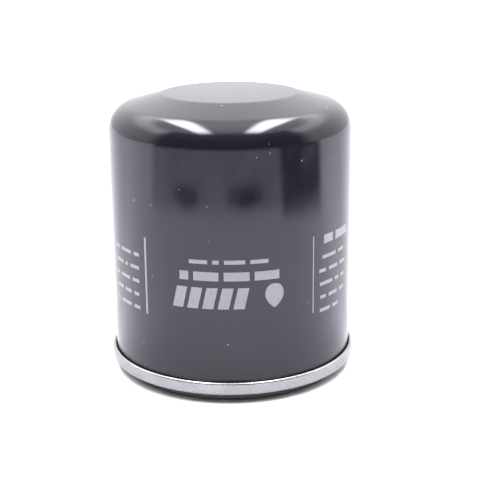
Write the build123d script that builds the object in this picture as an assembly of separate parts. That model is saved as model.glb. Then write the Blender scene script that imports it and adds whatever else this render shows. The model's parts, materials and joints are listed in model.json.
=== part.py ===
from build123d import *
import os
from math import asin, atan2, cos, hypot, pi, radians, sin, tan

# Spin-on engine oil filter, standing on its gasket. Millimetres, +Z up along the thread axis.
# The origin is on that axis, in the plane of the gasket's sealing face.
# A painted can is seamed to a plated lid, which is spot-welded to a threaded base plate. Inside,
# a leaf spring holds the pleated element down on the rubber anti-drain valve, and a sprung
# poppet in the element's upper end cap lets oil past a blocked element.

# Can
can_radius = 38.0
can_wall = 0.4
overall_height = 88.0
plateau_radius = 21.0
plateau_edge_radius = 7.0
dome_slope = 15.0
shoulder_radius = 8.5

# Double seam between can and lid
lid_wall = 0.4
seam_gap = 0.06
seam_height = 4.2
seam_lift = 2.7
neck_step = 0.1
neck_height = 0.8
hook_end_gap = 0.27
cover_hook_end_gap = 0.5

# Gasket and its groove
gasket_rim_gap = 1.1
gasket_width = 5.0
gasket_height = 5.5
gasket_edge_radius = 0.7
gasket_lug_count = 6
gasket_lug_width = 3.0
gasket_lug_height = 2.2
ridge_gap = 0.2
ridge_depth = 3.1
ridge_bend = 0.6
lid_bend = 0.8
weld_flange = 3.4

# Base plate
plate_thickness = 3.0
plate_edge_gap = 1.3
plate_edge_radius = 0.5
collar_wall = 3.0
collar_height = 6.5
collar_root_radius = 1.2
thread_radius = 10.0
thread_chamfer = 0.8
inlet_count = 8
inlet_diameter = 5.5
inlet_edge_radius = 0.4
weld_count = 8
weld_radius = 1.2
weld_depth = 0.15
weld_crater_radius = 0.96

# Anti-drain valve
seat_gap = 0.02
valve_sleeve_gap = 0.05
valve_sleeve_wall = 1.6
valve_flange = 1.2
valve_bore_gap = 0.8
skirt_wall = 1.1
skirt_drop = 2.6
lip_overlap = 3.2
lip_width = 1.6

# Filter element
element_gap = 4.2
cap_wall = 0.4
cap_rim_height = 3.2
cap_bend = 0.9
lower_cap_bore_gap = 1.2
lower_cap_rim = 1.8
tube_radius = 16.0
tube_wall = 0.4
tube_hole_diameter = 4.5
tube_holes_per_row = 10
tube_row_pitch = 6.4
tube_plain_end = 4.5
adhesive_depth = 2.2
adhesive_gap = 0.05
pleat_count = 60
paper_thickness = 0.5
inner_fold_radius = 0.45
outer_fold_radius = 0.6
pleat_tube_gap = 0.3
pleat_rim_gap = 0.5
paper_slit = 0.04
clip_wall = 0.3
clip_gap = 0.05
clip_reach = 6.0

# Bypass valve
port_radius = 6.5
seat_depth = 1.4
seat_overlap = 2.5
seal_thickness = 1.2
disc_overlap = 0.4
disc_wall = 0.5
disc_rim = 1.3
disc_bend = 1.0
pin_radius = 1.6
pin_gap = 0.05
pin_head_overlap = 1.6
pin_head_height = 0.9
pin_crown_radius = 0.72
pin_collar_overlap = 1.0
pin_collar_height = 0.5
pin_tail = 3.0
pin_point_chamfer = 0.5
cage_gap = 1.1
cage_wall = 0.5
cage_flange_gap = 1.0
cage_depth = 11.6
cage_bend = 0.8
cage_window_count = 4
cage_window_width = 8.0
cage_window_height = 5.0
cage_window_corner = 1.0
guide_gap = 0.08
valve_spring_radius = 6.0
valve_wire_radius = 0.4
valve_spring_turns = 4.5

# Support spring, between the element and the dome
support_spring_height = 9.6
leaf_thickness = 0.7
leaf_ring_inner = 11.0
leaf_ring_outer = 17.5
leaf_arm_count = 4
leaf_arm_width = 8.0
leaf_arm_corner = 2.6
leaf_foot_step = 1.5
leaf_rise_length = 4.5
leaf_tip_length = 4.5
leaf_bend = 2.5
leaf_gap = 0.05

# Places that follow from the sizes above
slope = radians(dome_slope)
can_bore = can_radius - can_wall
neck_radius = can_radius - neck_step
neck_bottom_z = seam_lift + seam_height
neck_top_z = neck_bottom_z + neck_height
shoulder_z = overall_height - (can_radius - plateau_radius) * tan(slope)
lid_inner = neck_radius - can_wall - seam_gap
hook_bend = (lid_wall + 2 * seam_gap) / 2
hook_inner = neck_radius + 2 * hook_bend
hook_outer = hook_inner + can_wall
cover_inner = hook_outer + seam_gap
cover_hook_outer = hook_inner - seam_gap
cover_hook_inner = cover_hook_outer - lid_wall
top_bend = (cover_inner - cover_hook_outer) / 2
seam_radius = cover_inner + lid_wall
lower_bend = (cover_inner - lid_inner) / 2
seam_turn_z = seam_lift + lid_wall + lower_bend
seam_top_z = seam_lift + seam_height - lid_wall - top_bend
hook_top_z = seam_top_z - hook_end_gap
cover_hook_z = seam_turn_z + cover_hook_end_gap

gasket_outer_radius = lid_inner - lid_wall - gasket_rim_gap
gasket_inner_radius = gasket_outer_radius - gasket_width
plate_bottom = gasket_height + lid_wall
plate_top = plate_bottom + plate_thickness
collar_radius = thread_radius + collar_wall
collar_top = plate_top + collar_height
ridge_out = gasket_inner_radius - ridge_gap - lid_wall
ridge_in = ridge_out - 2 * ridge_bend
ridge_turn_z = gasket_height - ridge_depth + lid_wall + ridge_bend
lid_opening = ridge_in - lid_wall - weld_flange
plate_radius = lid_inner - lid_bend - plate_edge_gap
inlet_circle = (collar_radius + lid_opening) / 2
weld_circle = lid_opening + weld_flange / 2

valve_inner = collar_radius + valve_sleeve_gap
valve_outer = valve_inner + valve_sleeve_wall
valve_bore = thread_radius + valve_bore_gap
valve_hub_z = collar_top + seat_gap
valve_hub_top = valve_hub_z + valve_flange
lip_radius = inlet_circle + inlet_diameter / 2 + lip_overlap
lip_z = plate_top + seat_gap
skirt_z = collar_top - skirt_drop

lower_cap_z = valve_hub_top + seat_gap
lower_cap_top = lower_cap_z + cap_wall
upper_cap_z = overall_height - can_wall - support_spring_height
upper_cap_under = upper_cap_z - cap_wall
tube_bore = tube_radius - tube_wall
element_radius = can_bore - element_gap
rim_bore = element_radius - cap_wall
adhesive_inner = tube_radius + adhesive_gap
adhesive_outer = rim_bore - adhesive_gap
paper_bottom = lower_cap_top + adhesive_depth
paper_top = upper_cap_under - adhesive_depth
half_paper = paper_thickness / 2
inner_fold_circle = tube_radius + pleat_tube_gap + half_paper + inner_fold_radius
outer_fold_circle = rim_bore - pleat_rim_gap - half_paper - outer_fold_radius
pleat_angle = 2 * pi / pleat_count

seat_z = upper_cap_z - seat_depth
seal_top = seat_z - seat_gap
seal_bottom = seal_top - seal_thickness
disc_bottom = seal_bottom - disc_wall
seal_radius = port_radius + seat_overlap
disc_radius = seal_radius + disc_overlap
pin_head_radius = pin_radius + pin_head_overlap
pin_collar_radius = pin_radius + pin_collar_overlap
cage_bore = disc_radius + cage_gap
cage_radius = cage_bore + cage_wall
cage_flange_radius = tube_bore - cage_flange_gap
cage_top = upper_cap_under - seat_gap
cage_floor = cage_top - cage_depth
guide_radius = pin_radius + guide_gap

leaf_foot_radius = leaf_ring_outer + leaf_foot_step
leaf_knee_radius = leaf_foot_radius + leaf_rise_length
leaf_tip_radius = leaf_knee_radius + leaf_tip_length


def turned(profile):
    """The solid that a face makes when turned about Z. The face's x is the radius and its y the height."""
    return revolve(Plane.XZ * profile, Axis.Z)


def sheet(path, wall, side):
    """A turned sheet-metal pressing: wall thick, on the given side of a path of radius and height."""
    return turned(make_face(offset(Wire(path.edges()), wall, side=side)))


def ring(inner, outer, bottom, top):
    """A plain turned ring with square corners."""
    corners = [(inner, bottom), (outer, bottom), (outer, top), (inner, top)]
    return turned(make_face(Polyline(corners, close=True)))


def round_copies(shape, count, start=0.0):
    """Copies of a shape, evenly spaced round Z."""
    return [Rot(0, 0, start + 360 * k / count) * shape for k in range(count)]


def merged(solids):
    """One compound that holds separate solids."""
    return Compound(children=[s.solids()[0] for s in solids])


def can():
    """The deep-drawn can: flat top, dome, round shoulder, neck, and a flange curled into the seam."""
    shell = FilletPolyline(
        (0, overall_height),
        (plateau_radius, overall_height),
        (can_radius, shoulder_z),
        (can_radius, neck_top_z),
        radius=[plateau_edge_radius, shoulder_radius],
    )
    neck = Polyline((can_radius, neck_top_z), (neck_radius, neck_bottom_z), (neck_radius, seam_turn_z))
    curl = ThreePointArc(
        (neck_radius, seam_turn_z),
        (neck_radius + hook_bend, seam_turn_z - hook_bend),
        (hook_inner, seam_turn_z),
    )
    hook = Line((hook_inner, seam_turn_z), (hook_inner, hook_top_z))
    return sheet(Curve() + [shell, neck, curl, hook], can_wall, Side.RIGHT)


def seaming_lid():
    """The plated lid: weld flange, gasket groove with an inner ridge, and a rim round the can's hook."""
    flange = FilletPolyline(
        (lid_opening, plate_bottom),
        (ridge_in, plate_bottom),
        (ridge_in, ridge_turn_z),
        radius=ridge_bend,
    )
    ridge = ThreePointArc(
        (ridge_in, ridge_turn_z),
        (ridge_in + ridge_bend, ridge_turn_z - ridge_bend),
        (ridge_out, ridge_turn_z),
    )
    groove = FilletPolyline(
        (ridge_out, ridge_turn_z),
        (ridge_out, plate_bottom),
        (lid_inner, plate_bottom),
        (lid_inner, seam_turn_z),
        radius=[ridge_bend, lid_bend],
    )
    rim_turn = ThreePointArc(
        (lid_inner, seam_turn_z),
        (lid_inner + lower_bend, seam_turn_z - lower_bend),
        (cover_inner, seam_turn_z),
    )
    rim = Line((cover_inner, seam_turn_z), (cover_inner, seam_top_z))
    top_turn = ThreePointArc(
        (cover_inner, seam_top_z),
        (cover_inner - top_bend, seam_top_z + top_bend),
        (cover_hook_outer, seam_top_z),
    )
    hook = Line((cover_hook_outer, seam_top_z), (cover_hook_outer, cover_hook_z))
    lid = sheet(Curve() + [flange, ridge, groove, rim_turn, rim, top_turn, hook], lid_wall, Side.RIGHT)
    crater = Pos(weld_circle, 0, gasket_height + weld_depth / 2) * Cylinder(weld_crater_radius, weld_depth)
    return lid - weld_pockets() - round_copies(crater, weld_count)


def weld_pockets():
    """The places where weld metal joins the lid to the base plate."""
    nugget = Pos(weld_circle, 0, plate_bottom) * Cylinder(weld_radius, 2 * weld_depth)
    return round_copies(nugget, weld_count)


def spot_welds():
    return merged(weld_pockets())


def seam_compound():
    """Sealing compound: one bead above the can's hook and one under the lid's."""
    upper = ring(hook_inner, hook_outer, hook_top_z + seam_gap, seam_top_z + top_bend / 4)
    lower_gap = cover_hook_z - seam_gap - cover_hook_end_gap / 2
    lower = ring(cover_hook_inner, cover_hook_outer, lower_gap, cover_hook_z - seam_gap)
    return merged([upper, lower])


def base_plate():
    """The thick tapping plate: a drawn collar with the thread's bore, and a ring of oil inlets."""
    outline = Polyline(
        (thread_radius, plate_bottom),
        (plate_radius, plate_bottom),
        (plate_radius, plate_top),
        (collar_radius, plate_top),
        (collar_radius, collar_top),
        (thread_radius, collar_top),
        close=True,
    )
    face = make_face(outline)
    corners = face.vertices()
    rim = corners.filter_by_position(Axis.X, plate_radius - 0.01, plate_radius + 0.01)
    root = corners.filter_by_position(Axis.X, collar_radius - 0.01, collar_radius + 0.01).sort_by(Axis.Y)[0]
    face = fillet(rim, plate_edge_radius)
    face = fillet(face.vertices().sort_by_distance(root.center())[0], collar_root_radius)
    mouths = face.vertices().filter_by_position(Axis.X, thread_radius - 0.01, thread_radius + 0.01)
    face = chamfer(mouths, thread_chamfer)
    plate = turned(face)
    middle = (plate_bottom + plate_top) / 2
    inlet = Pos(inlet_circle, 0, middle) * Cylinder(inlet_diameter / 2, 2 * plate_thickness)
    plate -= round_copies(inlet, inlet_count, 180 / inlet_count)
    mouth_edges = plate.edges().filter_by(GeomType.CIRCLE).filter_by(
        lambda e: abs(e.radius - inlet_diameter / 2) < 0.01
    )
    plate = fillet(mouth_edges, inlet_edge_radius)
    return plate - weld_pockets()


def gasket():
    """The square-section sealing ring, with small lugs that hold it in its groove."""
    face = make_face(
        Polyline(
            (gasket_inner_radius, 0),
            (gasket_outer_radius, 0),
            (gasket_outer_radius, gasket_height),
            (gasket_inner_radius, gasket_height),
            close=True,
        )
    )
    body = turned(fillet(face.vertices(), gasket_edge_radius))
    middle = (gasket_inner_radius + gasket_outer_radius) / 2
    reach = lid_inner - lid_wall - seam_gap
    block = Pos((middle + reach) / 2, 0, gasket_height / 2 + gasket_edge_radius) * Box(
        reach - middle, gasket_lug_width, gasket_lug_height
    )
    lugs = Part() + round_copies(block, gasket_lug_count)
    return body + (lugs & ring(gasket_inner_radius, reach, 0, gasket_height))


def anti_drain_valve():
    """The rubber valve: a hub clamped on the collar and a skirt whose lip closes over the inlets."""
    face = make_face(
        Polyline(
            (valve_bore, valve_hub_z),
            (valve_inner, valve_hub_z),
            (valve_inner, skirt_z - skirt_wall),
            (lip_radius - lip_width, lip_z),
            (lip_radius, lip_z),
            (lip_radius, lip_z + skirt_wall),
            (valve_outer, skirt_z + skirt_wall / 2),
            (valve_outer, valve_hub_top),
            (valve_bore, valve_hub_top),
            close=True,
        )
    )
    waist = face.vertices().sort_by_distance((valve_outer, skirt_z + skirt_wall / 2))[0]
    face = fillet(waist, skirt_wall)
    lip = face.vertices().sort_by_distance((lip_radius, lip_z + skirt_wall))[0]
    face = fillet(lip, skirt_wall / 2)
    return turned(face)


def lower_end_cap():
    """The pressed cap under the pleats, with a raised rim and a turned-up bore."""
    bore = thread_radius + lower_cap_bore_gap
    path = FilletPolyline(
        (bore, lower_cap_z + lower_cap_rim),
        (bore, lower_cap_z),
        (element_radius, lower_cap_z),
        (element_radius, lower_cap_z + cap_rim_height),
        radius=cap_bend,
    )
    return sheet(path, cap_wall, Side.LEFT)


def upper_end_cap():
    """The pressed cap over the pleats. Its centre is flanged down to make the bypass valve's seat."""
    path = FilletPolyline(
        (element_radius, upper_cap_z - cap_rim_height),
        (element_radius, upper_cap_z),
        (port_radius, upper_cap_z),
        (port_radius, seat_z),
        radius=[cap_bend, min(cap_bend, seat_depth / 2)],
    )
    return sheet(path, cap_wall, Side.LEFT)


def adhesive(cap_side, open_side):
    """The ring of adhesive that holds the pleats in an end cap, rounded where it lies in the cap's bend."""
    section = make_face(
        Polyline(
            (adhesive_inner, cap_side),
            (adhesive_outer, cap_side),
            (adhesive_outer, open_side),
            (adhesive_inner, open_side),
            close=True,
        )
    )
    corner = section.vertices().sort_by_distance((adhesive_outer, cap_side))[0]
    return turned(fillet(corner, cap_bend - cap_wall))


def center_tube():
    """The perforated tube inside the pleats, with staggered rows of round holes."""
    bottom = lower_cap_top + seat_gap
    top = upper_cap_under - seat_gap
    tube = ring(tube_bore, tube_radius, bottom, top)
    rows = int((top - bottom - 2 * tube_plain_end) / tube_row_pitch) + 1
    first = (bottom + top - (rows - 1) * tube_row_pitch) / 2
    drill = Rot(0, 90, 0) * Cylinder(tube_hole_diameter / 2, 3 * tube_radius)
    step = 360 / tube_holes_per_row
    drills = [
        Pos(0, 0, first + row * tube_row_pitch) * Rot(0, 0, step * (k + (row % 2) / 2)) * drill
        for row in range(rows)
        for k in range(tube_holes_per_row // 2)
    ]
    return tube - drills


def fold_tangent(shift):
    """Where a flank leaves the outer fold and meets the next inner one, as two points.

    The outer fold's centre lies on the X axis and the inner one half a pleat round from it.
    shift moves the line outwards from the paper's middle, so that it can be either face."""
    outer = Vector(outer_fold_circle, 0)
    inner = Vector(inner_fold_circle * cos(pleat_angle / 2), inner_fold_circle * sin(pleat_angle / 2))
    across = inner - outer
    turn = asin((outer_fold_radius + inner_fold_radius) / across.length)
    heading = atan2(across.Y, across.X) + turn
    normal = Vector(sin(heading), -cos(heading))
    return outer + normal * (outer_fold_radius + shift), inner - normal * (inner_fold_radius - shift)


def pleat_loop(shift):
    """One face of the pleated pack as a closed face: round folds joined by straight flanks."""
    start, end = fold_tangent(shift)
    tip = Vector(outer_fold_circle + outer_fold_radius + shift, 0)
    valley = Vector(inner_fold_circle - inner_fold_radius + shift, 0).rotate(Axis.Z, 180 / pleat_count)
    next_end = Vector(end.X, -end.Y).rotate(Axis.Z, 360 / pleat_count)
    mirrored = Vector(start.X, -start.Y)
    edges = []
    for k in range(pleat_count):
        turn = 360 * k / pleat_count
        fold_start, fold_tip, fold_end = (v.rotate(Axis.Z, turn) for v in (mirrored, tip, start))
        flank_end, valley_tip, valley_end = (v.rotate(Axis.Z, turn) for v in (end, valley, next_end))
        next_start = mirrored.rotate(Axis.Z, turn + 360 / pleat_count)
        edges.append(ThreePointArc(fold_start, fold_tip, fold_end))
        edges.append(Line(fold_end, flank_end))
        edges.append(ThreePointArc(flank_end, valley_tip, valley_end))
        edges.append(Line(valley_end, next_start))
    return make_face(Wire([e.edges()[0] for e in edges]))


def filter_paper():
    """The pleated paper, one closed pack. Its two ends meet in the pleat on the X axis."""
    band = pleat_loop(half_paper) - pleat_loop(-half_paper)
    pack = Pos(0, 0, paper_bottom) * extrude(band, paper_top - paper_bottom)
    slit = Pos(outer_fold_circle + clip_reach / 2, 0, (paper_bottom + paper_top) / 2) * Box(
        clip_reach, paper_slit, paper_top - paper_bottom
    )
    return pack - slit


def pleat_clip():
    """The folded steel strip that is crimped over the paper's two ends."""
    inner_shift = half_paper + clip_gap
    outer_shift = inner_shift + clip_wall
    cut = outer_fold_circle - clip_reach

    def outline(shift):
        start, end = fold_tangent(shift)
        share = (start.X - cut) / (start.X - end.X)
        foot = start + (end - start) * share
        tip = Vector(outer_fold_circle + outer_fold_radius + shift, 0)
        return foot, start, tip

    foot_in, start_in, tip_in = outline(inner_shift)
    foot_out, start_out, tip_out = outline(outer_shift)

    def below(point):
        return Vector(point.X, -point.Y)

    edges = [
        Line(foot_in, start_in),
        ThreePointArc(start_in, tip_in, below(start_in)),
        Line(below(start_in), below(foot_in)),
        Line(below(foot_in), below(foot_out)),
        Line(below(foot_out), below(start_out)),
        ThreePointArc(below(start_out), tip_out, start_out),
        Line(start_out, foot_out),
        Line(foot_out, foot_in),
    ]
    face = make_face(Wire([e.edges()[0] for e in edges]))
    return Pos(0, 0, paper_bottom) * extrude(face, paper_top - paper_bottom)


def valve_cage():
    """The bypass valve's pressed cage: a flange under the end cap, a windowed wall and a guided floor."""
    path = FilletPolyline(
        (cage_flange_radius, cage_top),
        (cage_bore, cage_top),
        (cage_bore, cage_floor),
        (guide_radius, cage_floor),
        radius=cage_bend,
    )
    cage = sheet(path, cage_wall, Side.LEFT)
    middle = (cage_top + cage_floor) / 2
    window = Pos(cage_radius, 0, middle) * Box(cage_radius, cage_window_width, cage_window_height)
    upright = window.edges().filter_by(Axis.X)
    window = fillet(upright, cage_window_corner)
    return cage - round_copies(window, cage_window_count, 180 / cage_window_count)


def valve_disc():
    """The bypass poppet's pressed disc, with a turned-down rim round the spring."""
    path = FilletPolyline(
        (pin_radius + pin_gap, seal_bottom),
        (disc_radius, seal_bottom),
        (disc_radius, disc_bottom - disc_rim),
        radius=disc_bend,
    )
    return sheet(path, disc_wall, Side.RIGHT)


def valve_seal():
    """The rubber washer that closes on the end cap's seat."""
    return ring(pin_radius + pin_gap, seal_radius, seal_bottom, seal_top)


def valve_pin():
    """The pin that clamps seal and disc together and runs in the cage's guide."""
    tail_z = cage_floor - cage_wall - pin_tail
    face = make_face(
        Polyline(
            (0, tail_z),
            (pin_radius, tail_z),
            (pin_radius, disc_bottom - pin_collar_height),
            (pin_collar_radius, disc_bottom - pin_collar_height),
            (pin_collar_radius, disc_bottom),
            (pin_radius, disc_bottom),
            (pin_radius, seal_top),
            (pin_head_radius, seal_top),
            (pin_head_radius, seal_top + pin_head_height),
            (0, seal_top + pin_head_height),
            close=True,
        )
    )
    crown = face.vertices().sort_by_distance((pin_head_radius, seal_top + pin_head_height))[0]
    face = fillet(crown, pin_crown_radius)
    point = face.vertices().sort_by_distance((pin_radius, tail_z))[0]
    face = chamfer(point, pin_point_chamfer)
    return turned(face)


def valve_spring():
    """The bypass valve's coil spring, between the cage's floor and the disc."""
    bottom = cage_floor + seat_gap + valve_wire_radius
    height = disc_bottom - seat_gap - valve_wire_radius - bottom
    line = Helix(height / valve_spring_turns, height, valve_spring_radius)
    section = Plane(line @ 0, z_dir=line % 0) * Circle(valve_wire_radius)
    return Pos(0, 0, bottom) * sweep(section, line, is_frenet=True)


def support_spring():
    """The leaf spring: a ring on the end cap and arms that press up against the dome."""
    base_z = upper_cap_z + seat_gap
    thickness_up = leaf_thickness / cos(slope)

    def under_dome(radius):
        edge = hypot(radius, leaf_arm_width / 2)
        inside = overall_height - (edge - plateau_radius) * tan(slope) - can_wall / cos(slope)
        return inside - leaf_gap - thickness_up

    path = FilletPolyline(
        (leaf_ring_inner + leaf_bend, base_z),
        (leaf_foot_radius, base_z),
        (leaf_knee_radius, under_dome(leaf_knee_radius)),
        (leaf_tip_radius, under_dome(leaf_tip_radius)),
        radius=leaf_bend,
    )
    profile = Plane.XZ * make_face(offset(Wire(path.edges()), leaf_thickness, side=Side.LEFT))
    strip = extrude(profile, leaf_arm_width / 2, both=True)
    plan = RectangleRounded(2 * leaf_tip_radius, leaf_arm_width, leaf_arm_corner)
    arm = strip & Pos(0, 0, base_z - leaf_thickness) * extrude(plan, support_spring_height)
    base = ring(leaf_ring_inner, leaf_ring_outer, base_z, base_z + leaf_thickness)
    return base + round_copies(arm, leaf_arm_count)


nodes = {
    "can": can(),
    "seaming_lid": seaming_lid(),
    "spot_welds": spot_welds(),
    "seam_compound": seam_compound(),
    "base_plate": base_plate(),
    "gasket": gasket(),
    "anti_drain_valve": anti_drain_valve(),
    "lower_end_cap": lower_end_cap(),
    "lower_adhesive": adhesive(lower_cap_top, paper_bottom),
    "center_tube": center_tube(),
    "filter_paper": filter_paper(),
    "pleat_clip": pleat_clip(),
    "upper_adhesive": adhesive(upper_cap_under, paper_top),
    "upper_end_cap": upper_end_cap(),
    "valve_cage": valve_cage(),
    "valve_spring": valve_spring(),
    "valve_disc": valve_disc(),
    "valve_seal": valve_seal(),
    "valve_pin": valve_pin(),
    "support_spring": support_spring(),
}

os.makedirs("parts", exist_ok=True)
for name, shape in nodes.items():
    export_step(shape, f"parts/{name}.step")
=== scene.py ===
import bpy
import json
from math import atan2, cos, degrees, hypot, radians, sin, tan
from mathutils import Matrix, Vector


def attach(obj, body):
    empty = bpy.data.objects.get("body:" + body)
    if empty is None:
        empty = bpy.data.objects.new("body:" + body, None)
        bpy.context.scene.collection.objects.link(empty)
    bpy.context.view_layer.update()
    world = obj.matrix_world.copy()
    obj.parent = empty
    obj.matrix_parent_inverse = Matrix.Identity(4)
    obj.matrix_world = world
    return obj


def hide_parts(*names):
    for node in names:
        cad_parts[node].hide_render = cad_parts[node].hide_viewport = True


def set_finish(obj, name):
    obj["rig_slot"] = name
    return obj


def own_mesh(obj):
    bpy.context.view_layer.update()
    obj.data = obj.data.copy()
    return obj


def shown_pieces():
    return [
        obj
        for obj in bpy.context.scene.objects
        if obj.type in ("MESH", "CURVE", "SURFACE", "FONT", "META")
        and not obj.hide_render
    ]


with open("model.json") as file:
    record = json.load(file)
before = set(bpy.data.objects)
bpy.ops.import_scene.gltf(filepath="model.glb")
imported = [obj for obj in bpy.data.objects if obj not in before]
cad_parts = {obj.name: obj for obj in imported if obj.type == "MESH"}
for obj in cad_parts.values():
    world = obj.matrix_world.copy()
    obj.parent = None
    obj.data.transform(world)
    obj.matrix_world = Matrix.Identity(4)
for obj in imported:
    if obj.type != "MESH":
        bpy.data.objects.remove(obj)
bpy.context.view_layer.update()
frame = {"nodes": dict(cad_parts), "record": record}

mm = 0.001  # every size below is in millimetres
roundSteps = 256  # faces round the can
print("frame loaded:", len(frame["nodes"]), "nodes")


# modelling helpers
def selectNothing():
    if bpy.context.mode != "OBJECT":
        bpy.ops.object.mode_set(mode="OBJECT")
    bpy.ops.object.select_all(action="DESELECT")


def pick(piece):
    selectNothing()
    piece.select_set(True)
    bpy.context.view_layer.objects.active = piece
    return piece


def editAll(piece):
    pick(piece)
    bpy.ops.object.mode_set(mode="EDIT")
    bpy.ops.mesh.select_all(action="SELECT")


def leaveEdit():
    bpy.ops.object.mode_set(mode="OBJECT")


def nameIt(name):
    piece = bpy.context.object
    piece.name = piece.data.name = name
    return piece


def pickVertices(piece, wanted):  # opens edit mode with only the wanted vertices selected
    editAll(piece)
    bpy.ops.mesh.select_mode(type="VERT")
    bpy.ops.mesh.select_all(action="DESELECT")
    leaveEdit()
    for vertex in piece.data.vertices:
        vertex.select = wanted(vertex.co)
    bpy.ops.object.mode_set(mode="EDIT")


def applyPlace(piece):  # the place goes into the mesh, so that the object sits at the origin
    pick(piece)
    bpy.ops.object.transform_apply(location=True, rotation=True, scale=True)
    return piece


def applyModifier(piece, kind, **settings):
    pick(piece)
    modifier = piece.modifiers.new(kind.lower(), kind)
    for key, value in settings.items():
        setattr(modifier, key, value)
    bpy.ops.object.modifier_apply(modifier=modifier.name)
    return piece


def cutAway(piece, cutter):
    applyModifier(piece, "BOOLEAN", operation="DIFFERENCE", solver="EXACT", object=cutter)
    bpy.data.objects.remove(cutter)
    return piece


def joinInto(piece, others):
    pick(piece)
    for other in others:
        other.select_set(True)
    bpy.ops.object.join()
    return piece


def copyRound(piece, count):  # copies turned about the can's axis, each with its own mesh
    copies = []
    for k in range(1, count):
        pick(piece)
        bpy.ops.object.duplicate()
        copy = bpy.context.object
        copy.data.transform(Matrix.Rotation(radians(360 * k / count), 4, "Z"))
        copies.append(copy)
    return copies


def drawOutline(name, corners, arcStep=9.0):  # corners are radius, height and an optional rounding
    selectNothing()
    bpy.ops.mesh.primitive_plane_add(size=mm)
    piece = nameIt(name)
    bpy.ops.object.mode_set(mode="EDIT")
    bpy.ops.mesh.select_all(action="SELECT")
    bpy.ops.mesh.merge(type="CENTER")
    at = list(corners[0][:2])
    bpy.ops.transform.translate(value=(at[0] * mm, 0, at[1] * mm))

    def lineTo(x, z):
        if hypot(x - at[0], z - at[1]) > 1e-5:
            step = ((x - at[0]) * mm, 0, (z - at[1]) * mm)
            bpy.ops.mesh.extrude_region_move(TRANSFORM_OT_translate={"value": step})
        at[:] = [x, z]

    for k in range(1, len(corners)):
        x, z = corners[k][:2]
        rounding = corners[k][2] if len(corners[k]) > 2 else 0
        if not rounding or k == len(corners) - 1:
            lineTo(x, z)
            continue
        before, after = corners[k - 1], corners[k + 1]
        inWay = Vector((x - before[0], z - before[1])).normalized()
        outWay = Vector((after[0] - x, after[1] - z)).normalized()
        turn = atan2(inWay.x * outWay.y - inWay.y * outWay.x, inWay.dot(outWay))
        cut = rounding * tan(abs(turn) / 2)
        side = rounding if turn > 0 else -rounding
        lineTo(x - inWay.x * cut, z - inWay.y * cut)
        centre = ((at[0] - inWay.y * side) * mm, 0, (at[1] + inWay.x * side) * mm)
        steps = max(3, round(abs(degrees(turn)) / arcStep))
        bpy.ops.mesh.spin(steps=steps, angle=turn, center=centre, axis=(0, 1, 0))
        at[:] = [x + outWay.x * cut, z + outWay.y * cut]
    return piece


def turnRound(piece, steps=roundSteps):  # spins the drawn outline about the can's axis
    bpy.ops.mesh.select_all(action="SELECT")
    bpy.ops.mesh.spin(steps=steps, angle=radians(360), center=(0, 0, 0), axis=(0, 0, 1))
    bpy.ops.mesh.select_all(action="SELECT")
    bpy.ops.mesh.remove_doubles(threshold=1e-6)
    bpy.ops.mesh.normals_make_consistent(inside=False)
    leaveEdit()
    return piece


def giveWall(piece, wall, place, facing):  # place is a point on the face that must look along facing
    point = Vector(place) * mm
    nearest = min(piece.data.polygons, key=lambda face: (face.center - point).length)
    if nearest.normal.dot(Vector(facing)) < 0:
        editAll(piece)
        bpy.ops.mesh.flip_normals()
        leaveEdit()
    return applyModifier(piece, "SOLIDIFY", thickness=wall * mm, offset=-1, use_even_offset=True)


def smooth(piece, angle=30):
    pick(piece)
    bpy.ops.object.shade_smooth_by_angle(angle=radians(angle))
    return piece


# the can
can = {
    "outline": [
        (0, 88), (21, 88, 7), (38, 83.4449, 8.5), (38, 7.7), (37.9, 6.9),
        (37.9, 3.56, 0.26), (38.42, 3.56, 0.26), (38.42, 5.97),
    ],
    "wall": 0.4,
}
canShell = turnRound(drawOutline("can_shell", can["outline"], arcStep=3))
giveWall(canShell, can["wall"], (38, 0, 40), (1, 0, 0))
smooth(canShell)
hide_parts("can")
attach(canShell, "housing")
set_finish(canShell, "black_paint")
print("can made:", len(canShell.data.polygons), "faces")

# the lid, with its gasket groove and rolled seam
lid = {
    "outline": [
        (25.34, 5.9), (29.14, 5.9, 0.6), (29.14, 2.8, 0.6), (30.34, 2.8, 0.6), (30.34, 5.9, 0.6),
        (37.44, 5.9, 0.8), (37.44, 3.1, 0.72), (38.88, 3.1, 0.72), (38.88, 6.5, 0.26),
        (38.36, 6.5, 0.26), (38.36, 4.32),
    ],
    "wall": 0.4,
    "craters": 8,
    "craterRadius": 0.96,
    "craterCircle": 27.04,
    "craterDepth": 0.15,
    "underside": 5.5,
}
lidPressing = turnRound(drawOutline("seaming_lid_pressing", lid["outline"], arcStep=15))
giveWall(lidPressing, lid["wall"], (27, 0, 5.9), (0, 0, 1))
selectNothing()
bpy.ops.mesh.primitive_cylinder_add(
    vertices=24,
    radius=lid["craterRadius"] * mm,
    depth=2 * lid["craterDepth"] * mm,
    location=(lid["craterCircle"] * mm, 0, lid["underside"] * mm),
)
crater = applyPlace(nameIt("crater_cutter"))
joinInto(crater, copyRound(crater, lid["craters"]))
cutAway(lidPressing, crater)
smooth(lidPressing)
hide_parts("seaming_lid")
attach(lidPressing, "housing")
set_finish(lidPressing, "zinc_plate")
print("lid made:", len(lidPressing.data.polygons), "faces")

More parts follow.
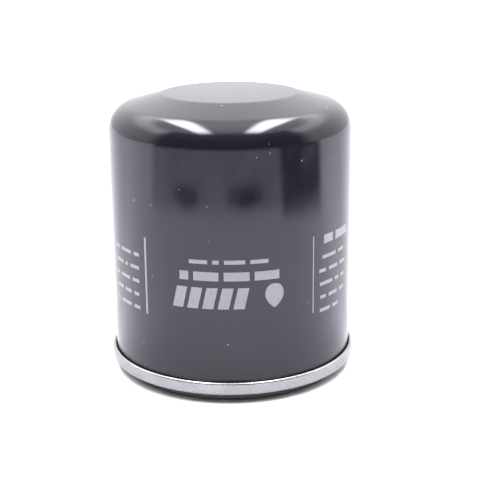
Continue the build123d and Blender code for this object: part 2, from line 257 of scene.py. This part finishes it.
# the printing on the can's wall: plain blocks for words, an oil drop, and two upright rules
printing = {
    "radius": 38.05,
    "layer": 0.04,
    "column": 0.9,
    "rules": [(-42.4, 25.2, 49.3, 0.72), (40.0, 25.2, 49.3, 0.4)],  # angle, bottom, top, width
    "stripes": {"from": -28.3, "to": 6.6, "count": 5, "bottom": 29.9, "top": 36.4, "gap": 1.3, "slant": 1.5},
    "drop": {"angle": 19.4, "height": 34.3, "radius": 2.9, "point": 4.6},
    "words": [  # middle, height, letter height, and the words' widths in one row
        (-1.0, 39.9, 2.7, (2.8, 7.6, 7.6, 7.6)),
        (-1.3, 44.3, 1.2, (5.6, 1.9, 6.2, 5.4)),
        (-58.0, 43.2, 1.1, (3.0, 6.2, 2.6)),
        (-58.0, 39.0, 1.1, (5.4, 1.6, 4.4)),
        (-58.0, 34.8, 1.1, (2.2, 5.6, 3.4)),
        (-58.0, 30.6, 1.1, (4.6, 3.8, 2.6)),
        (-58.0, 26.4, 1.1, (1.8, 6.6, 3.0)),
        (58.5, 47.5, 2.7, (4.6, 9.2)),
        (55.5, 42.0, 1.1, (7.2, 4.0)),
        (55.5, 37.8, 1.1, (3.2, 5.0, 4.2)),
        (55.5, 33.6, 1.1, (6.4, 2.4, 3.0)),
        (55.5, 29.4, 1.1, (2.6, 4.8, 3.8)),
        (52.0, 25.2, 1.1, (5.0, 3.4)),
    ],
    "wordGap": 1.5,
}


def printBlock(angle, height, width, tall, slant=0.0):  # a flat block, tangent to the can's wall
    turn = radians(angle)
    selectNothing()
    bpy.ops.mesh.primitive_grid_add(
        x_subdivisions=max(1, round(width / printing["column"])),
        y_subdivisions=1,
        size=mm,
        location=(printing["radius"] * sin(turn) * mm, -printing["radius"] * cos(turn) * mm, height * mm),
        rotation=(radians(90), 0, turn),
    )
    bpy.context.object.scale = (width, tall, 1)
    block = applyPlace(bpy.context.object)
    if slant:
        pickVertices(block, lambda place: place.z > height * mm)
        bpy.ops.transform.translate(value=(slant * cos(turn) * mm, slant * sin(turn) * mm, 0))
        bpy.ops.mesh.select_all(action="SELECT")
        bpy.ops.mesh.subdivide(number_cuts=2)
        leaveEdit()
    return block


blocks = []
for angle, bottom, top, width in printing["rules"]:
    blocks.append(printBlock(angle, (bottom + top) / 2, width, top - bottom))
stripes = printing["stripes"]
stripeStep = (stripes["to"] - stripes["from"]) / stripes["count"]
for k in range(stripes["count"]):
    blocks.append(printBlock(
        stripes["from"] + (k + 0.5) * stripeStep,
        (stripes["bottom"] + stripes["top"]) / 2,
        radians(stripeStep) * printing["radius"] - stripes["gap"],
        stripes["top"] - stripes["bottom"],
        stripes["slant"],
    ))
for middle, height, tall, widths in printing["words"]:
    start = -(sum(widths) + printing["wordGap"] * (len(widths) - 1)) / 2
    for width in widths:
        turned = middle + degrees((start + width / 2) / printing["radius"])
        blocks.append(printBlock(turned, height, width, tall))
        start += width + printing["wordGap"]

drop = printing["drop"]
selectNothing()
bpy.ops.mesh.primitive_circle_add(
    vertices=48,
    radius=drop["radius"] * mm,
    fill_type="TRIFAN",
    location=(0, -printing["radius"] * mm, drop["height"] * mm),
    rotation=(radians(90), 0, 0),
)
oilDrop = applyPlace(nameIt("oil_drop"))
pickVertices(oilDrop, lambda place: place.z < (drop["height"] - 0.999 * drop["radius"]) * mm)
bpy.ops.transform.translate(
    value=(0, 0, (drop["radius"] - drop["point"]) * mm),
    use_proportional_edit=True,
    proportional_edit_falloff="SHARP",
    proportional_size=2 * drop["radius"] * mm,
)
bpy.ops.mesh.select_all(action="SELECT")
bpy.ops.mesh.subdivide(number_cuts=2)
bpy.ops.transform.rotate(value=radians(-drop["angle"]), orient_axis="Z", center_override=(0, 0, 0))
leaveEdit()

printedMarks = joinInto(oilDrop, blocks)
printedMarks.name = printedMarks.data.name = "printed_marks"
applyModifier(
    printedMarks,
    "SHRINKWRAP",
    target=canShell,
    wrap_method="NEAREST_SURFACEPOINT",
    wrap_mode="OUTSIDE_SURFACE",
    offset=printing["layer"] / 2 * mm,
)
giveWall(printedMarks, printing["layer"] / 2, (0, -printing["radius"], drop["height"]), (0, -1, 0))
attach(printedMarks, "housing")
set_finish(printedMarks, "print_ink")
print("printing made:", len(blocks) + 1, "marks")

# the gasket, with lugs that hold it in the groove
gasket = {
    "outline": [
        (33.4, 0), (35.94, 0, 0.7), (35.94, 5.5, 0.7), (30.94, 5.5, 0.7), (30.94, 0, 0.7), (33.4, 0),
    ],
    "lugs": 6,
    "lugFrom": 33.5,
    "lugTo": 36.98,
    "lugWidth": 3.0,
    "lugLow": 2.35,
    "lugHigh": 4.55,
    "lugBevel": 0.35,
}
gasketRing = turnRound(drawOutline("gasket_ring", gasket["outline"]))
lugMiddle = (gasket["lugFrom"] + gasket["lugTo"]) / 2
lugHeight = (gasket["lugLow"] + gasket["lugHigh"]) / 2
selectNothing()
bpy.ops.mesh.primitive_cube_add(
    size=mm,
    location=(lugMiddle * mm, 0, lugHeight * mm),
    scale=(gasket["lugTo"] - gasket["lugFrom"], gasket["lugWidth"], gasket["lugHigh"] - gasket["lugLow"]),
)
lug = applyPlace(nameIt("gasket_lug"))
editAll(lug)
bpy.ops.mesh.bevel(offset=gasket["lugBevel"] * mm, segments=3, affect="EDGES")
leaveEdit()
joinInto(gasketRing, [lug] + copyRound(lug, gasket["lugs"]))
smooth(gasketRing, 50)
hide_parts("gasket")
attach(gasketRing, "housing")
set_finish(gasketRing, "gasket_rubber")
print("gasket made")

# the thread in the base plate's collar
thread = {
    "pitch": 1.5,
    "rootRadius": 10.03,
    "crestRadius": 9.19,
    "rootWidth": 1.4,
    "crestWidth": 0.45,
    "bottom": 5.9,
    "top": 15.4,
    "stepsEachTurn": 72,
    "startBelow": 0.7,  # the ridge starts below the plate, and is cut back to the chamfer
    "chamferRadius": 10.8,
    "sleeveMargin": 0.2,
}
threadTurns = (thread["top"] - thread["bottom"]) / thread["pitch"]
selectNothing()
bpy.ops.mesh.primitive_plane_add(size=mm)
threadRidge = nameIt("thread_ridge")
editAll(threadRidge)
bpy.ops.mesh.merge(type="CENTER")
startHeight = thread["bottom"] - thread["startBelow"]
bpy.ops.transform.translate(value=(thread["rootRadius"] * mm, 0, startHeight * mm))
depth = (thread["crestRadius"] - thread["rootRadius"]) * mm
flank = (thread["rootWidth"] - thread["crestWidth"]) / 2 * mm
for step in ((depth, flank), (0, thread["crestWidth"] * mm), (-depth, flank)):
    bpy.ops.mesh.extrude_region_move(TRANSFORM_OT_translate={"value": (step[0], 0, step[1])})
bpy.ops.mesh.select_all(action="SELECT")
bpy.ops.mesh.edge_face_add()
bpy.ops.mesh.delete(type="ONLY_FACE")
leaveEdit()
applyModifier(
    threadRidge,
    "SCREW",
    angle=radians(360 * threadTurns),
    screw_offset=thread["pitch"] * threadTurns * mm,
    steps=round(thread["stepsEachTurn"] * threadTurns),
    render_steps=round(thread["stepsEachTurn"] * threadTurns),
    iterations=1,
    axis="Z",
)
editAll(threadRidge)
bpy.ops.mesh.remove_doubles(threshold=1e-7)
bpy.ops.mesh.select_all(action="DESELECT")
bpy.ops.mesh.select_non_manifold()
bpy.ops.mesh.edge_face_add()
bpy.ops.mesh.select_all(action="SELECT")
bpy.ops.mesh.normals_make_consistent(inside=False)
leaveEdit()
inner = thread["crestRadius"] - thread["sleeveMargin"]
outer = thread["rootRadius"] + thread["sleeveMargin"]
lowIn, lowOut = (thread["bottom"] + thread["chamferRadius"] - radius for radius in (inner, outer))
highIn, highOut = (thread["top"] - thread["chamferRadius"] + radius for radius in (inner, outer))
halfway = (lowIn + highIn) / 2
sleeve = turnRound(drawOutline("thread_sleeve", [
    (inner, halfway), (inner, highIn), (outer, highOut), (outer, lowOut), (inner, lowIn), (inner, halfway),
]), steps=144)
applyModifier(threadRidge, "BOOLEAN", operation="INTERSECT", solver="EXACT", object=sleeve)
bpy.data.objects.remove(sleeve)  # the ridge now runs out at both chamfers
smooth(threadRidge, 25)
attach(threadRidge, "housing")
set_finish(threadRidge, "plate_steel")
print("thread made")

# the rubber anti-drain valve
drain = {
    "outline": [
        (12, 15.42), (13.05, 15.42), (13.05, 11.7, 0.5), (23.52, 8.92, 0.3), (25.12, 8.92, 0.2),
        (25.12, 10.02, 0.5), (14.65, 13.35, 1.1), (14.65, 16.62, 0.3), (10.8, 16.62, 0.3),
        (10.8, 15.42, 0.2), (12, 15.42),
    ],
    "lift": 1.2,
    "hubTop": 16.62,
    "lipBottom": 8.92,
}
drainFlap = turnRound(drawOutline("anti_drain_flap", drain["outline"]), steps=128)
smooth(drainFlap, 40)
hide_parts("anti_drain_valve")
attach(drainFlap, "housing")
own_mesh(drainFlap)
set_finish(drainFlap, "valve_rubber")
print("anti-drain valve made")

# the leaf spring over the element
leaf = {
    "ring": [(11, 78.02), (17.5, 78.02)],
    "arm": [(13.5, 78.02), (19, 78.02, 3.2), (23.5, 86.05, 3.2), (28, 84.859)],
    "thickness": 0.7,
    "armWidth": 8,
    "arms": 4,
    "tipBevel": 2.4,
    "travel": 2.0,
    "bottom": 78.02,
    "top": 86.3,
}
leafSpring = turnRound(drawOutline("support_leaf", leaf["ring"]), steps=128)
giveWall(leafSpring, leaf["thickness"], (14, 0, 78.02), (0, 0, -1))
leafArm = drawOutline("leaf_arm", leaf["arm"], arcStep=6)
bpy.ops.mesh.select_all(action="SELECT")
bpy.ops.transform.translate(value=(0, -leaf["armWidth"] / 2 * mm, 0))
bpy.ops.mesh.extrude_region_move(TRANSFORM_OT_translate={"value": (0, leaf["armWidth"] * mm, 0)})
leaveEdit()
pickVertices(leafArm, lambda place: place.x > (leaf["arm"][-1][0] - 0.1) * mm)  # the tip's two corners
bpy.ops.mesh.bevel(offset=leaf["tipBevel"] * mm, segments=6, affect="VERTICES")
leaveEdit()
giveWall(leafArm, leaf["thickness"], (15, 0, 78.02), (0, 0, -1))
joinInto(leafArm, copyRound(leafArm, leaf["arms"]))
applyModifier(leafSpring, "BOOLEAN", operation="UNION", solver="EXACT", object=leafArm)
bpy.data.objects.remove(leafArm)
smooth(leafSpring, 40)
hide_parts("support_spring")
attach(leafSpring, "housing")
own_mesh(leafSpring)
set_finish(leafSpring, "spring_steel")
print("leaf spring made")

# the bypass valve's coil spring
coil = {
    "radius": 6.0,
    "wire": 0.4,
    "bottom": 66.4,
    "height": 8.06,
    "turns": 4.5,
    "travel": 2.5,
    "seat": 66.0,
}
selectNothing()
bpy.ops.mesh.primitive_circle_add(
    vertices=14,
    radius=coil["wire"] * mm,
    rotation=(radians(90), 0, 0),
    location=(coil["radius"] * mm, 0, coil["bottom"] * mm),
)
bypassCoil = applyPlace(nameIt("bypass_coil"))
applyModifier(
    bypassCoil,
    "SCREW",
    angle=radians(360 * coil["turns"]),
    screw_offset=coil["height"] * mm,
    steps=round(48 * coil["turns"]),
    render_steps=round(48 * coil["turns"]),
    iterations=1,
    axis="Z",
)
editAll(bypassCoil)
bpy.ops.mesh.remove_doubles(threshold=1e-7)
bpy.ops.mesh.select_all(action="DESELECT")
bpy.ops.mesh.select_non_manifold()
bpy.ops.mesh.fill_holes(sides=0)
bpy.ops.mesh.select_all(action="SELECT")
bpy.ops.mesh.normals_make_consistent(inside=False)
leaveEdit()
smooth(bypassCoil, 50)
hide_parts("valve_spring")
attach(bypassCoil, "element")
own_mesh(bypassCoil)
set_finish(bypassCoil, "spring_steel")
print("coil spring made")


# materials
def newMaterial(name, **sockets):
    material = bpy.data.materials.new(name)
    material.use_nodes = True
    shader = material.node_tree.nodes["Principled BSDF"]
    for key, value in sockets.items():
        shader.inputs[key.replace("_", " ")].default_value = value
    return material, shader


def treeNode(tree, kind, **settings):
    node = tree.nodes.new(kind)
    for key, value in settings.items():
        if hasattr(node, key):
            setattr(node, key, value)
        else:
            node.inputs[key.replace("_", " ")].default_value = value
    return node


def addNode(material, kind, **settings):
    return treeNode(material.node_tree, kind, **settings)


def setRange(node, numbers):
    for key, number in zip(("From Min", "From Max", "To Min", "To Max"), numbers):
        node.inputs[key].default_value = number


def join(material, output, target):
    material.node_tree.links.new(output, target)


def objectPlace(material, scale=(1, 1, 1)):
    place = addNode(material, "ShaderNodeTexCoord")
    mapping = addNode(material, "ShaderNodeMapping", Scale=scale)
    join(material, place.outputs["Object"], mapping.inputs["Vector"])
    return mapping.outputs["Vector"]


def noise(material, vector, scale, detail=3.0, roughness=0.5):
    node = addNode(material, "ShaderNodeTexNoise", Scale=scale, Detail=detail, Roughness=roughness)
    join(material, vector, node.inputs["Vector"])
    return node.outputs["Fac"]


def spread(material, value, *numbers):  # numbers are the range read and the range given
    node = addNode(material, "ShaderNodeMapRange")
    setRange(node, numbers)
    join(material, value, node.inputs["Value"])
    return node.outputs["Result"]


def mixColour(material, factor, first, second):
    node = addNode(material, "ShaderNodeMix", data_type="RGBA")
    join(material, factor, node.inputs["Factor"])
    for socket, colour in ((node.inputs[6], first), (node.inputs[7], second)):
        if isinstance(colour, tuple):
            socket.default_value = colour
        else:
            join(material, colour, socket)
    return node.outputs[2]


def bump(material, shader, height, strength, distance):
    node = addNode(material, "ShaderNodeBump", Strength=strength, Distance=distance)
    join(material, height, node.inputs["Height"])
    join(material, node.outputs["Normal"], shader.inputs["Normal"])


def grey(value, tint=0.0):
    return (value, value, value * (1 + tint), 1)


paint = {
    "colour": (0.0065, 0.0062, 0.0105, 1),
    "IOR": 1.48,
    "rough": (0.06, 0.12),
    "roughScale": 60,
    "waveScale": 260,  # the faint unevenness of the sprayed coat
    "waveStrength": 0.05,
    "waveDepth": 0.00005,
    "dust": grey(0.18),
    "dustScale": 260.0,
    "dustSize": (0.045, 0.09),
    "patchScale": 90,
    "patchEdge": (0.49, 0.6),
}


def makePaint():
    material, shader = newMaterial("gloss_black_enamel", IOR=paint["IOR"])
    place = objectPlace(material)
    wave = noise(material, place, paint["waveScale"], 2)
    soft = noise(material, place, paint["roughScale"], 3)
    specks = addNode(material, "ShaderNodeTexVoronoi", feature="F1", Scale=paint["dustScale"])
    join(material, place, specks.inputs["Vector"])
    dust = spread(material, specks.outputs["Distance"], *paint["dustSize"], 1, 0)
    patch = spread(material, noise(material, place, paint["patchScale"], 2), *paint["patchEdge"], 0, 1)
    mask = addNode(material, "ShaderNodeMath", operation="MULTIPLY")
    join(material, dust, mask.inputs[0])
    join(material, patch, mask.inputs[1])
    colour = mixColour(material, mask.outputs[0], paint["colour"], paint["dust"])
    join(material, colour, shader.inputs["Base Color"])
    join(material, spread(material, soft, 0.3, 0.7, *paint["rough"]), shader.inputs["Roughness"])
    bump(material, shader, wave, paint["waveStrength"], paint["waveDepth"])
    return material


def makeMetal(name, tone, tint, rough, mottle, grain=1800, streak=(1, 1, 1), strength=0.1):
    material, shader = newMaterial(name, Metallic=1.0)
    place = objectPlace(material)
    cloud = noise(material, place, 220, 4, 0.6)
    fine = noise(material, objectPlace(material, streak), grain, 3, 0.6)
    low, high = grey(tone * (1 - mottle), tint), grey(tone * (1 + mottle), tint)
    colour = mixColour(material, spread(material, cloud, 0.35, 0.65, 0, 1), low, high)
    join(material, colour, shader.inputs["Base Color"])
    join(material, spread(material, fine, 0.3, 0.7, *rough), shader.inputs["Roughness"])
    bump(material, shader, fine, strength, 0.00004)
    return material


def makeRubber(name, tone, rough=(0.42, 0.6)):
    material, shader = newMaterial(name, IOR=1.5)
    place = objectPlace(material)
    cloud = noise(material, place, 150, 4)
    fine = noise(material, place, 2500, 2)
    colour = mixColour(material, cloud, grey(tone * 0.7), grey(tone * 1.4))
    join(material, colour, shader.inputs["Base Color"])
    join(material, spread(material, cloud, 0.3, 0.7, *rough), shader.inputs["Roughness"])
    bump(material, shader, fine, 0.25, 0.00005)
    return material


def makeFibre(name, pale, dark):
    material, shader = newMaterial(name, IOR=1.4)
    fibres = noise(material, objectPlace(material, (1, 1, 0.25)), 1500, 5, 0.7)
    cloud = noise(material, objectPlace(material), 120, 3)
    tint = mixColour(material, fibres, dark, pale)
    colour = mixColour(material, spread(material, cloud, 0.3, 0.7, 0, 0.35), tint, dark)
    join(material, colour, shader.inputs["Base Color"])
    join(material, spread(material, fibres, 0.3, 0.7, 0.7, 0.95), shader.inputs["Roughness"])
    bump(material, shader, fibres, 0.4, 0.0001)
    return material


def makeInk(name, tone):
    material, shader = newMaterial(name, IOR=1.45)
    place = objectPlace(material)
    worn = noise(material, place, 900, 4, 0.7)
    wear = spread(material, worn, 0.3, 0.5, 0, 1)
    colour = mixColour(material, wear, grey(tone * 0.85, 0.08), grey(tone, 0.05))
    join(material, colour, shader.inputs["Base Color"])
    join(material, spread(material, worn, 0.3, 0.7, 0.35, 0.5), shader.inputs["Roughness"])
    bump(material, shader, worn, 0.1, 0.00003)
    return material


def makeResin(name, pale, dark):
    material, shader = newMaterial(name, IOR=1.48)
    cloud = noise(material, objectPlace(material), 180, 3)
    join(material, mixColour(material, cloud, dark, pale), shader.inputs["Base Color"])
    join(material, spread(material, cloud, 0.3, 0.7, 0.3, 0.5), shader.inputs["Roughness"])
    bump(material, shader, cloud, 0.2, 0.0002)
    return material


finishes = {
    "black_paint": makePaint(),
    "zinc_plate": makeMetal("satin_zinc", 0.325, 0.0, (0.24, 0.36), 0.08, 900, (1, 1, 4), 0.05),
    "plate_steel": makeMetal("oiled_plate_steel", 0.3, -0.03, (0.25, 0.4), 0.2),
    "weld_steel": makeMetal("weld_metal", 0.2, -0.05, (0.35, 0.55), 0.3),
    "cap_steel": makeMetal("tinplate", 0.5, -0.02, (0.18, 0.3), 0.08),
    "tube_steel": makeMetal("galvanised_sheet", 0.42, 0.02, (0.3, 0.45), 0.2),
    "spring_steel": makeMetal("oiled_spring_steel", 0.18, -0.04, (0.25, 0.4), 0.2),
    "pin_steel": makeMetal("turned_steel", 0.45, -0.08, (0.2, 0.3), 0.08, 2500, (1, 1, 8)),
    "gasket_rubber": makeRubber("gasket_rubber", 0.07),
    "valve_rubber": makeRubber("valve_rubber", 0.02, (0.5, 0.7)),
    "sealing_compound": makeResin("sealing_compound", (0.45, 0.45, 0.4, 1), (0.3, 0.3, 0.27, 1)),
    "adhesive": makeResin("cap_adhesive", (0.62, 0.5, 0.32, 1), (0.45, 0.34, 0.2, 1)),
    "print_ink": makeInk("silver_grey_ink", 0.225),
    "filter_paper": makeFibre("pleated_paper", (0.8, 0.66, 0.4, 1), (0.55, 0.42, 0.22, 1)),
}


def paintWith(piece, finish):
    piece.data.materials.clear()
    piece.data.materials.append(finishes[finish])


nodeFinish = {part["node"]: part["material_slot"] for part in frame["record"]["subparts"]}
for node, piece in frame["nodes"].items():
    if not piece.data.materials:
        piece.data.materials.append(None)
    for slot in piece.material_slots:
        slot.material = finishes[nodeFinish[node]]
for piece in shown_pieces():
    if "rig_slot" in piece:
        paintWith(piece, piece["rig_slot"])
print("materials made:", len(finishes))

# the floor, the light and the camera
room = {
    "floor": 6.0,
    "floorDrop": 0.02,
    "floorTone": 0.8,
    # painted reflection: the next keys set the floor colour that glossy rays see and the painted shade laid
    # on it
    "mirroredFloor": (0.635, 0.62, 0.665, 1),
    "nearFloor": (0.225, 0.27),  # where the floor in front turns darker to glossy rays, painted shade that the paint mirrors
    "farFloor": (0.4, 0.75),
    "frontEdge": (0.1, 0.26),
    "nearReflectionShade": 0.45,
    "farTone": 0.35,
    "bandTone": 0.47,  # a painted dark band on the right of the floor, seen only in reflections on the paint
    "bandFrom": (0.205, 0.245),
    "band": (0.66, 0.75),
    "darkest": 0.95,
    "frontLean": 0.13,
    "behind": (-0.5, -0.15),
    "behindTone": 0.27,
    "reflectedShadePatches": [(-0.62, 0.285, 0.2, 0.04), (0.2, 0.285, 0.34, 0.04)],  # painted dark patches seen only in reflections: side, distance and their reach
    "reflectedPatchTone": 0.6,
    "front": (0.3, 0.7),  # the room's dark side
    "frontLow": (0.08, 0.42),
    "lowUntil": (0.72, 0.84),
    "frontShade": 0.92,
    "wallLow": 1.4,
    "wallHigh": 2.2,
    "wallTop": 0.7,
    "zenith": 0.8,
    "zenithFrom": 0.85,
    "lightColour": (0.99, 0.985, 1.03, 1),
    "ringGlow": 2.1,  # a soft bright band high on the walls, left and right
    "ring": (0.46, 0.66, 0.69, 0.8),
    "ringEnd": (0.88, 0.98),
    "stripGlow": 22.0,
    "strips": [(-0.37, 0.11), (0.33, 0.115)],  # middle and half width, as width over height
    "stripEdge": 0.05,
    "stripEnds": (-0.7, -0.25, 0.25, 1.05),
}


def treeMath(tree, operation, first, second=None):
    node = treeNode(tree, "ShaderNodeMath", operation=operation)
    for socket, value in zip(node.inputs, (first, second)):
        if isinstance(value, (int, float)):
            socket.default_value = value
        elif value is not None:
            tree.links.new(value, socket)
    return node.outputs[0]


def treeRange(tree, value, *numbers):  # a soft step, with the range read and the range given
    node = treeNode(tree, "ShaderNodeMapRange", interpolation_type="SMOOTHSTEP")
    setRange(node, numbers)
    tree.links.new(value, node.inputs["Value"])
    return node.outputs["Result"]


selectNothing()
bpy.ops.mesh.primitive_plane_add(size=room["floor"], location=(0, 0, -room["floorDrop"] * mm))
floor = nameIt("floor")
floorPaint, floorShader = newMaterial("pale_floor", Roughness=0.5, IOR=1.3)
floor.data.materials.append(floorPaint)

# the floor is plain to the eye; for glossy rays its colour is painted darker in front, a painted reflection
# of shade where the gloss paint mirrors it
tree = floorPaint.node_tree
spot = treeNode(tree, "ShaderNodeSeparateXYZ")
tree.links.new(objectPlace(floorPaint), spot.inputs[0])
spotX, spotY = spot.outputs[:2]
squares = [treeMath(tree, "POWER", side, 2) for side in (spotX, spotY)]
far = treeMath(tree, "SQRT", treeMath(tree, "ADD", *squares))
outward = treeMath(tree, "ADD", far, 0.001)
ahead = treeMath(tree, "DIVIDE", treeMath(tree, "MULTIPLY", spotY, -1), outward)
beside = treeMath(tree, "DIVIDE", spotX, outward)
dark = treeMath(
    tree,
    "ADD",
    treeRange(tree, far, *room["nearFloor"], 0, room["nearReflectionShade"]),
    treeRange(tree, far, *room["farFloor"], 0, room["farTone"]),
)
# painted dark band on the right, seen only in reflections
band = treeMath(
    tree,
    "MULTIPLY",
    treeRange(tree, beside, *room["band"], 0, room["bandTone"]),
    treeRange(tree, far, *room["bandFrom"], 0, 1),
)
dark = treeMath(tree, "ADD", dark, band)
for side, distance, reachSide, reachOut in room["reflectedShadePatches"]:  # painted soft dark patches, seen only in the paint's reflection of the floor
    offSide = treeMath(tree, "DIVIDE", treeMath(tree, "SUBTRACT", beside, side), reachSide)
    offOut = treeMath(tree, "DIVIDE", treeMath(tree, "SUBTRACT", far, distance), reachOut)
    squares = [treeMath(tree, "POWER", off, 2) for off in (offSide, offOut)]
    patch = treeRange(tree, treeMath(tree, "ADD", *squares), 0.1, 1, room["reflectedPatchTone"], 0)
    dark = treeMath(tree, "ADD", dark, patch)
mottle = treeRange(tree, noise(floorPaint, objectPlace(floorPaint), 9, 1), 0.3, 0.7, 0.8, 1.15)
dark = treeMath(tree, "MULTIPLY", dark, mottle)
leaning = treeMath(tree, "ADD", ahead, treeMath(tree, "MULTIPLY", beside, room["frontLean"]))
dark = treeMath(tree, "MULTIPLY", dark, treeRange(tree, leaning, *room["frontEdge"], 0, 1))
# painted reflection shade behind the can as well
dark = treeMath(tree, "ADD", dark, treeRange(tree, ahead, *room["behind"], room["behindTone"], 0))
dark = treeMath(tree, "MINIMUM", dark, room["darkest"])
# painted reflection shade: glossy rays see the darkened colour, other rays see the plain floor tone
mirrored = mixColour(floorPaint, dark, room["mirroredFloor"], grey(0))
glossy = treeNode(tree, "ShaderNodeLightPath").outputs["Is Glossy Ray"]
floorColour = mixColour(floorPaint, glossy, grey(room["floorTone"]), mirrored)
join(floorPaint, floorColour, floorShader.inputs["Base Color"])

world = bpy.data.worlds.new("soft_room")
bpy.context.scene.world = world
world.use_nodes = True
tree = world.node_tree
tree.nodes.clear()
ways = treeNode(tree, "ShaderNodeSeparateXYZ")
tree.links.new(treeNode(tree, "ShaderNodeTexCoord").outputs["Generated"], ways.inputs[0])
across, back, up = ways.outputs
front = treeMath(tree, "MULTIPLY", back, -1)
level = treeMath(tree, "SQRT", treeMath(tree, "SUBTRACT", 1.001, treeMath(tree, "POWER", up, 2)))
lowFront = treeMath(
    tree,
    "MULTIPLY",
    treeRange(tree, treeMath(tree, "DIVIDE", front, level), *room["frontLow"], 0, 1),
    treeRange(tree, up, *room["lowUntil"], 1, 0),
)
opening = treeMath(tree, "MAXIMUM", treeRange(tree, front, *room["front"], 0, 1), lowFront)
opening = treeMath(tree, "MULTIPLY", opening, room["frontShade"])
walls = treeRange(tree, up, 0.0, room["wallTop"], room["wallLow"], room["wallHigh"])
walls = treeMath(tree, "ADD", walls, treeRange(tree, up, room["zenithFrom"], 1.0, 0, room["zenith"]))
ringFrom, ringFull, ringLast, ringGone = room["ring"]
ring = treeMath(
    tree,
    "MULTIPLY",
    treeRange(tree, up, ringFrom, ringFull, 0, room["ringGlow"]),
    treeRange(tree, up, ringLast, ringGone, 1, 0),
)
ringEnds = treeRange(tree, treeMath(tree, "DIVIDE", back, level), *room["ringEnd"], 1, 0)
walls = treeMath(tree, "ADD", walls, treeMath(tree, "MULTIPLY", ring, ringEnds))
glow = treeMath(tree, "MULTIPLY", walls, treeMath(tree, "SUBTRACT", 1, opening))
overhead = treeMath(tree, "MAXIMUM", up, 0.05)
leanX = treeMath(tree, "DIVIDE", across, overhead)
leanY = treeMath(tree, "DIVIDE", back, overhead)
endFrom, endFull, startFull, startFrom = room["stripEnds"]
stripLength = treeMath(
    tree,
    "MULTIPLY",
    treeRange(tree, leanY, endFrom, endFull, 0, 1),
    treeRange(tree, leanY, startFull, startFrom, 1, 0),
)
edge = room["stripEdge"]
for middle, half in room["strips"]:  # two long lights overhead, running from back to front
    offMiddle = treeMath(tree, "ABSOLUTE", treeMath(tree, "SUBTRACT", leanX, middle))
    stripWidth = treeRange(tree, offMiddle, half - edge, half + edge, room["stripGlow"], 0)
    glow = treeMath(tree, "ADD", glow, treeMath(tree, "MULTIPLY", stripWidth, stripLength))
lit = treeNode(tree, "ShaderNodeBackground", Color=room["lightColour"])
tree.links.new(glow, lit.inputs["Strength"])
plain = treeNode(tree, "ShaderNodeBackground", Color=grey(1), Strength=1.0)  # what the eye sees behind
choice = treeNode(tree, "ShaderNodeMixShader")
tree.links.new(treeNode(tree, "ShaderNodeLightPath").outputs["Is Camera Ray"], choice.inputs[0])
tree.links.new(lit.outputs[0], choice.inputs[1])
tree.links.new(plain.outputs[0], choice.inputs[2])
tree.links.new(choice.outputs[0], treeNode(tree, "ShaderNodeOutputWorld").inputs[0])

view = {
    "place": (0.985, -353.0, 145.1),
    "down": 16.61,
    "turn": 0.29,
    "roll": -0.6,
    "lens": 85.65,
}
down, turn, roll = (radians(view[key]) for key in ("down", "turn", "roll"))
lookAlong = Vector((sin(turn) * cos(down), cos(turn) * cos(down), -sin(down)))
sideways = Vector((cos(turn), -sin(turn), 0))
upright = sideways.cross(lookAlong)
cameraX = sideways * cos(roll) + upright * sin(roll)
cameraY = upright * cos(roll) - sideways * sin(roll)
camera = bpy.data.objects.new("camera", bpy.data.cameras.new("camera"))
bpy.context.collection.objects.link(camera)
axes = Matrix((cameraX, cameraY, -lookAlong)).transposed()
camera.matrix_world = Matrix.Translation(Vector(view["place"]) * mm) @ axes.to_4x4()
camera.data.lens = view["lens"]
camera.data.clip_start = 0.01
bpy.context.scene.camera = camera
bpy.context.scene.view_settings.view_transform = "Standard"
print("light and camera set")
